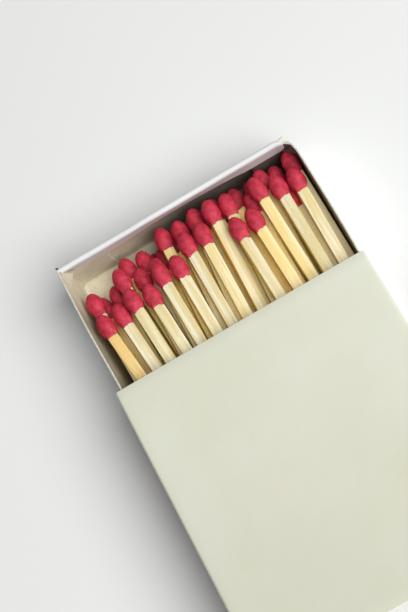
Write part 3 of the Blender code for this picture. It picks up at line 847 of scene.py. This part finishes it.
def splint_wood():
    """Poplar: pale on the top and bottom faces, painted with the gold of shaded wood on its two sides, and
    fine fibres along the stick.
    """
    material, tree, shader = new_material("splint_wood", WOOD_ROUGH)[:3]
    grain = attribute_of(tree, "grain", "Vector")
    tint = attribute_of(tree, "tint", "Fac")
    amber = attribute_of(tree, "amber", "Fac")
    broad = mottle(tree, mapped(tree, grain, (0.05, 1.0, 1.0)), 900.0, 3.0, 0.6, 0.4)
    colour = tinted(tree, stepped(tree, broad, 0.32, 0.60), WOOD_PALE, WOOD_CREAM)
    # The tint turns the wood gold: a random tone of each match, and painted shade on the buried ones.
    colour = tinted(tree, stepped(tree, tint, 0.30, 1.0, 0.0, GOLD_SHARE), colour, WOOD_GOLD)
    colour = tinted(tree, calculated(tree, "MULTIPLY", amber, AMBER_SHARE), colour, WOOD_AMBER)
    # Painted shade: the two side faces of each splint take the saturated gold of wood in shade.
    parts = split_up(tree, attribute_of(tree, "stick", "Vector"))
    side = calculated(tree, "SUBTRACT", calculated(tree, "ABSOLUTE", parts["Y"]),
                      calculated(tree, "ABSOLUTE", parts["Z"]))
    colour = tinted(tree, stepped(tree, side, 0.0, SPLINT_EDGE, 0.0, SHADED_SIDE_SHARE), colour, WOOD_GOLD)
    streaks = mottle(tree, mapped(tree, grain, (0.03, 1.0, 1.0)), 3600.0, 4.0, 0.7, 0.2)
    colour = tinted(tree, stepped(tree, streaks, 0.54, 0.70, 0.0, 0.50), colour, WOOD_FIBRE)
    vessels = mottle(tree, mapped(tree, grain, (0.10, 1.0, 1.0)), 5200.0, 2.0, 0.6)
    colour = tinted(tree, stepped(tree, vessels, 0.30, 0.42, 0.22, 0.0), colour, WOOD_VESSEL)
    tree.links.new(colour, shader.inputs["Base Color"])
    shader.inputs["Subsurface Weight"].default_value = WOOD_GLOW
    shader.inputs["Subsurface Radius"].default_value = WOOD_GLOW_REACH
    shader.inputs["Subsurface Scale"].default_value = 1.0
    first = raised(tree, shader, streaks, STREAK_DEPTH)
    raised(tree, shader, broad, GRAIN_DEPTH, 0.5, first)
    return material


def head_paste():
    """Dried match paste: pinkish red, finely gritty, chalky where it is rubbed, a dull shine on top, and
    painted shade on the buried heads.
    """
    material, tree, shader, place = new_material("head_paste", HEAD_ROUGH)
    tint = attribute_of(tree, "tint", "Fac")
    clouds = stepped(tree, mottle(tree, place, 900.0, 4.0, 0.6), 0.32, 0.68)
    colour = tinted(tree, clouds, HEAD_RED, HEAD_PINK)
    # Painted shade: the heads of the buried matches, which have a high tint, are darkened.
    colour = tinted(tree, stepped(tree, tint, 0.55, 1.25, 0.0, 0.85), colour, HEAD_PAINTED_SHADE)
    grit = mottle(tree, place, 5200.0, 3.0, 0.7)
    colour = tinted(tree, stepped(tree, grit, 0.62, 0.74, 0.0, 0.28), colour, HEAD_CHALK)
    pits = mottle(tree, place, 2600.0, 2.0, 0.6)
    colour = tinted(tree, stepped(tree, pits, 0.26, 0.38, 0.40, 0.0), colour, HEAD_PIT)
    tree.links.new(colour, shader.inputs["Base Color"])
    shader.inputs["Specular IOR Level"].default_value = HEAD_SHINE
    first = raised(tree, shader, grit, GRIT_DEPTH)
    raised(tree, shader, pits, PIT_DEPTH, 0.7, first)
    return material


def match_lie(node):
    """How a match of the frame lies, as a matrix: from its tail to its tip, and the turn of its square."""
    points = np.unique(np.round([vert.co for vert in frame["nodes"][node].data.vertices], 6), axis=0)
    centre = points.mean(axis=0)
    way = np.linalg.svd(points - centre, full_matrices=False)[2][0]
    along = (points - centre) @ way
    if along.max() > -along.min():
        way, along = -way, -along
    tail = Vector(points[along < along.min() + SPLINT_HALF / 4].mean(axis=0))
    tip = Vector(points[along.argmax()])
    way = (tip - tail).normalized()
    ring = [Vector(point) - tail for point in points[along < along.min() + SPLINT_HALF / 4]]
    reach = max(arm.length for arm in ring)
    left = Vector((0, 0, 1)).cross(way).normalized()
    over = way.cross(left)
    corner = max((arm for arm in ring if arm.length > 0.97 * reach), key=lambda arm: arm.dot(left + over))
    corner = (corner - corner.dot(way) * way).normalized()
    turned = way.cross(corner)
    side, top = (corner - turned).normalized(), (corner + turned).normalized()
    lie = Matrix((way, side, top)).transposed().to_4x4()
    lie.translation = tail
    return lie


def make_splint():
    """One splint along +X from its tail, with worn edges, ready to be copied."""
    bpy.ops.object.select_all(action="DESELECT")
    long = SPLINT_LONG - HEAD_LONG * HEAD_PAST_SPLINT
    bpy.ops.mesh.primitive_cube_add(size=1, location=(long / 2, 0, 0),
                                    scale=(long, 2 * SPLINT_HALF, 2 * SPLINT_HALF))
    splint = bpy.context.object
    bpy.ops.object.transform_apply(location=True, rotation=True, scale=True)
    add_modifier(splint, "BEVEL", width=SPLINT_EDGE, segments=2)
    open_for_editing(splint, "FACE")
    cut_across(0, evenly(0, long, SPLINT_CUTS_LONG))
    cut_across(1, evenly(-SPLINT_HALF, SPLINT_HALF, SPLINT_CUTS_WIDE))
    cut_across(2, evenly(-SPLINT_HALF, SPLINT_HALF, SPLINT_CUTS_WIDE))
    close_editing()
    return splint


def make_head():
    """One head round the same axis: square where the paste grips the stick, round at the bulge."""
    bpy.ops.object.select_all(action="DESELECT")
    bpy.ops.mesh.primitive_uv_sphere_add(segments=HEAD_AROUND, ring_count=HEAD_RINGS, radius=1.0,
                                         rotation=(0, math.radians(90), 0))
    head = bpy.context.object
    bpy.ops.object.transform_apply(location=True, rotation=True, scale=True)
    start = SPLINT_LONG - HEAD_LONG

    def shaped(point):
        """Draw the ball out into a head: closed behind, square at its foot, widest before its middle."""
        share = 1 - math.acos(max(-1.0, min(1.0, point.x))) / math.pi
        angle = math.atan2(point.z, point.y)
        square = (SPLINT_HALF + HEAD_SKIRT) / max(abs(math.cos(angle)), abs(math.sin(angle)))
        square = min(square, (SPLINT_HALF + HEAD_SKIRT) * HEAD_CORNER)
        if share < HEAD_FOOT:
            reach = (SPLINT_HALF * 0.9) * share / HEAD_FOOT
            return Vector((start + HEAD_LONG * 0.1, reach * math.cos(angle), reach * math.sin(angle)))
        share = (share - HEAD_FOOT) / (1 - HEAD_FOOT)
        place = 1 - (1 - share) ** RING_SPREAD
        if place <= HEAD_WIDEST:
            climb = place / HEAD_WIDEST
            egg = HEAD_WIDE * (HEAD_NECK + (1 - HEAD_NECK) * math.sin(climb * math.pi / 2))
            blend = min(1.0, climb * 1.5)
            radius = square + (egg - square) * blend * blend * (3 - 2 * blend)
        else:
            radius = HEAD_WIDE * math.sqrt(max(0.0, 1 - ((place - HEAD_WIDEST) / (1 - HEAD_WIDEST)) ** 2))
        return Vector((start + HEAD_LONG * place, radius * math.cos(angle), radius * math.sin(angle)))

    move_points(head, shaped)
    return head


def copy_of(piece):
    """A copy with a mesh of its own."""
    twin = piece.copy()
    twin.data = piece.data.copy()
    bpy.context.collection.objects.link(twin)
    return twin


def note_on_points(piece, name, kind, values):
    """Note a value or a vector on every point of a piece, for its material to read."""
    attribute = piece.data.attributes.new(name, kind, "POINT")
    field = "vector" if kind == "FLOAT_VECTOR" else "value"
    attribute.data.foreach_set(field, np.asarray(values, dtype=np.float32).ravel())


def make_matches():
    """A splint and a head for every match of the frame, each with a grain, tint and warp of its own."""
    splint, head = make_splint(), make_head()
    wood, paste = splint_wood(), head_paste()
    nodes = sorted(name for name in frame["nodes"] if name.startswith("match_"))
    for number, node in enumerate(nodes):
        lie = match_lie(node)
        seed = Vector((3.1 * number, 1.7 * number, 0.4 * number))
        # Painted shade: the lower, buried matches get a higher tint, so their wood turns gold and their
        # heads dark, as in shade; the rest of the tint is each match's own random tone.
        buried_shade = max(0.0, BURIED_SHADE_SHARE - number / len(nodes))
        tint = TINT_MIDDLE + TINT_SPREAD * noise.noise(seed) + BURIED_SHADE_GOLD * buried_shade
        amber = 1.0 if node == nodes[-1] else 0.0

        stick = copy_of(splint)
        local = np.array([vert.co for vert in stick.data.vertices])
        note_on_points(stick, "stick", "FLOAT_VECTOR", local)
        note_on_points(stick, "grain", "FLOAT_VECTOR", local + np.array(seed) * 0.01)
        note_on_points(stick, "tint", "FLOAT", np.full(len(local), tint))
        note_on_points(stick, "amber", "FLOAT", np.full(len(local), amber))

        def sawn(point):
            """A splint is a little bowed and rough, and torn at its tail."""
            along = point.x / SPLINT_LONG
            bow = SPLINT_WARP * (1 - (2 * along - 1) ** 2)
            rough = noise.noise(Vector((point.x * 260, point.y * 900, point.z * 900)) + seed)
            torn = SPLINT_TORN_END * noise.noise(point * 1800 + seed) if point.x < AT_TAIL else 0.0
            point += Vector((torn, SPLINT_ROUGH * rough, SPLINT_ROUGH * rough))
            return point + Vector((0, bow * math.sin(number), bow * 0.5 * math.cos(number)))

        move_points(stick, sawn)
        stick.data.transform(lie)
        stick.data.materials.append(wood)
        settle_in(stick, "splint_%02d" % (number + 1), "tray", [node], 50.0)

        cap = copy_of(head)
        note_on_points(cap, "tint", "FLOAT", np.full(len(cap.data.vertices), tint))

        def dried(point):
            """Paste dries in lumps, and its skirt runs down the wood at the corners of the stick."""
            radial = Vector((0, point.y, point.z))
            share = (point.x - SPLINT_LONG + HEAD_LONG) / HEAD_LONG
            lump = noise.noise(point * 700 + seed)
            fine = noise.noise(point * 2600 + seed)
            if radial.length > SPLINT_HALF * 0.95 or share > 0.5:
                point += radial.normalized() * HEAD_GRAIN * (0.7 * lump + 0.35 * fine - 0.3)
            if 0.0 <= share < SKIRT_REACH and radial.length > SPLINT_HALF * 0.95:
                angle = math.atan2(point.z, point.y)
                run = noise.noise(Vector((2 * math.cos(angle), 2 * math.sin(angle), 0)) + seed)
                lower = abs(math.sin(2 * angle)) ** 3
                point.x -= (SKIRT_RUN * run + SKIRT_DIP * lower * (0.6 + run)) * (1 - share / SKIRT_REACH)
            return point

        move_points(cap, dried)
        cap.data.transform(lie)
        cap.data.materials.append(paste)
        settle_in(cap, "head_%02d" % (number + 1), "tray", [node], 50.0)
    for piece in (splint, head):
        bpy.data.objects.remove(piece, do_unlink=True)


make_matches()


# Table, light and camera
# A pale table top under one broad, soft window from the right, in a dim room that looks white. A
# weak lamp over the splints alone lets their wood glow. The camera hangs over the box, tipped a little.

TABLE_GREY = (0.855, 0.865, 0.85)
TABLE_PALE = (0.87, 0.88, 0.865)
TABLE_ROUGH = 0.7
TABLE_REACH = 0.6
ROOM_LIGHT = 0.03
ROOM_WHITE = 0.95
CAMERA_AT = Vector((-0.024737, -0.013724, 0.226035))
CAMERA_TURN = [math.radians(angle) for angle in (11.417, 11.694, -118.401)]
PHOTO_HEIGHT = 612
FOCAL_PIXELS = 1200
SENSOR_HEIGHT = 24.0
CLIP_START = 0.001
LAMP_AIM = Vector((0.02, 0, 0))
LAMPS = (
    ("window", (-0.35, -0.53, 1.02), 1.30, 20.4, ""),
    ("wood_card", (-0.02, -0.01, 0.80), 0.40, 1.8, "splint_"),
)


def make_stage():
    """The table top, the camera, both lamps and the room, none of which belong to the part."""
    bpy.ops.object.select_all(action="DESELECT")
    bpy.ops.mesh.primitive_plane_add(size=2 * TABLE_REACH, location=(0, 0, 0))
    table = bpy.context.object
    table.name = "table_top"
    material, tree, shader, place = new_material("table_paint", TABLE_ROUGH)
    tone = stepped(tree, mottle(tree, place, 9.0, 2.0), 0.3, 0.7)
    tree.links.new(tinted(tree, tone, TABLE_GREY, TABLE_PALE), shader.inputs["Base Color"])
    table.data.materials.append(material)

    lens = bpy.data.cameras.new("camera")
    lens.sensor_fit = "VERTICAL"
    lens.sensor_height = SENSOR_HEIGHT
    lens.lens = FOCAL_PIXELS / PHOTO_HEIGHT * SENSOR_HEIGHT
    lens.clip_start = CLIP_START
    camera = bpy.data.objects.new("camera", lens)
    camera.location = CAMERA_AT
    camera.rotation_euler = CAMERA_TURN
    bpy.context.collection.objects.link(camera)
    bpy.context.scene.camera = camera

    for name, at, size, power, only in LAMPS:
        lamp = bpy.data.lights.new(name, "AREA")
        lamp.shape = "DISK"
        lamp.size = size
        lamp.energy = power
        light = bpy.data.objects.new(name, lamp)
        light.location = at
        light.rotation_euler = (LAMP_AIM - Vector(at)).to_track_quat("-Z", "Y").to_euler()
        bpy.context.collection.objects.link(light)
        if only:
            lit = bpy.data.collections.new("lit_by_" + name)
            for piece in bpy.data.objects:
                if piece.name.startswith(only):
                    lit.objects.link(piece)
            light.light_linking.receiver_collection = lit

    world = bpy.data.worlds.new("room")
    bpy.context.scene.world = world
    world.use_nodes = True
    tree = world.node_tree
    seen = tree.nodes.new("ShaderNodeLightPath").outputs
    through = calculated(tree, "MAXIMUM", seen["Is Glossy Ray"], seen["Is Transmission Ray"])
    direct = calculated(tree, "MAXIMUM", seen["Is Camera Ray"], through)
    backdrop = tree.nodes["Background"].inputs
    tree.links.new(stepped(tree, direct, 0.0, 1.0, ROOM_LIGHT, ROOM_WHITE), backdrop["Strength"])
    backdrop["Color"].default_value = (1.0, 1.0, 1.0, 1.0)
    bpy.context.scene.view_settings.view_transform = "Standard"


make_stage()
